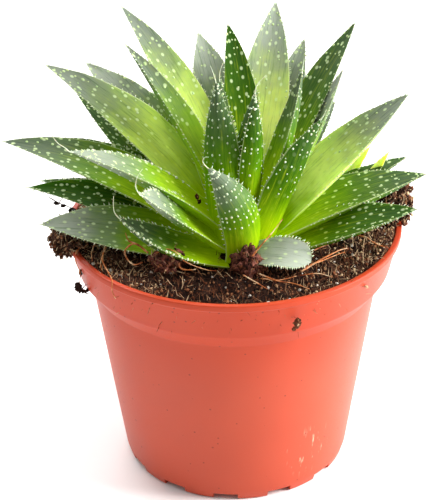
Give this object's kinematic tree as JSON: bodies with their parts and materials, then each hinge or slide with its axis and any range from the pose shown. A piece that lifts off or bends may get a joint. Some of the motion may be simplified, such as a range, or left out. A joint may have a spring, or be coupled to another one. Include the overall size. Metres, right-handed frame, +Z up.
{
  "type": "potted lace aloe",
  "caption": "Small spotted succulent rosette with toothed pointed leaves, growing in a round terracotta-coloured plastic nursery pot filled with peat soil.",
  "frame": {"origin": "on the resting surface, under the middle of the plan box of plant and pot; the pot's axis stands 6.4 mm towards +X of it", "axes": "+Z up, along the pot's axis; the front towards -Y, where the rosette leans over the soil with the offset clod before it"},
  "size_m": [0.1488, 0.12, 0.16],
  "materials": {
    "terracotta_plastic": "satin moulded polypropylene",
    "peat": "rough, crumbly, fibrous",
    "stem": "smooth",
    "root": "dry, fibrous",
    "young_leaf": "waxy",
    "grown_leaf": "waxy, spotted",
    "old_leaf": "waxy, spotted"
  },
  "bodies": {
    "root": {"leaf_heart_1": "young_leaf", "leaf_heart_2": "young_leaf", "leaf_heart_3": "young_leaf", "leaf_inner_1": "young_leaf", "leaf_inner_2": "young_leaf", "leaf_inner_3": "young_leaf", "leaf_inner_4": "young_leaf", "leaf_low_1": "old_leaf", "leaf_low_10": "old_leaf", "leaf_low_11": "old_leaf", "leaf_low_12": "old_leaf", "leaf_low_2": "old_leaf", "leaf_low_3": "old_leaf", "leaf_low_4": "old_leaf", "leaf_low_5": "old_leaf", "leaf_low_6": "old_leaf", "leaf_low_7": "old_leaf", "leaf_low_8": "old_leaf", "leaf_low_9": "old_leaf", "leaf_middle_1": "grown_leaf", "leaf_middle_2": "grown_leaf", "leaf_middle_3": "grown_leaf", "leaf_middle_4": "grown_leaf", "leaf_middle_5": "grown_leaf", "leaf_outer_1": "grown_leaf", "leaf_outer_10": "grown_leaf", "leaf_outer_11": "grown_leaf", "leaf_outer_12": "grown_leaf", "leaf_outer_13": "grown_leaf", "leaf_outer_14": "grown_leaf", "leaf_outer_2": "grown_leaf", "leaf_outer_3": "grown_leaf", "leaf_outer_4": "grown_leaf", "leaf_outer_5": "grown_leaf", "leaf_outer_6": "grown_leaf", "leaf_outer_7": "grown_leaf", "leaf_outer_8": "grown_leaf", "leaf_outer_9": "grown_leaf", "pot": "terracotta_plastic", "pup_clod": "peat", "pup_leaf": "old_leaf", "root_clod": "peat", "root_left": "root", "root_pup": "root", "root_right": "root", "root_rim": "root", "shoot_1": "young_leaf", "shoot_2": "young_leaf", "soil": "peat", "soil_clump_left": "peat", "soil_clump_right": "peat", "stem": "stem"}
  },
  "joints": []
}
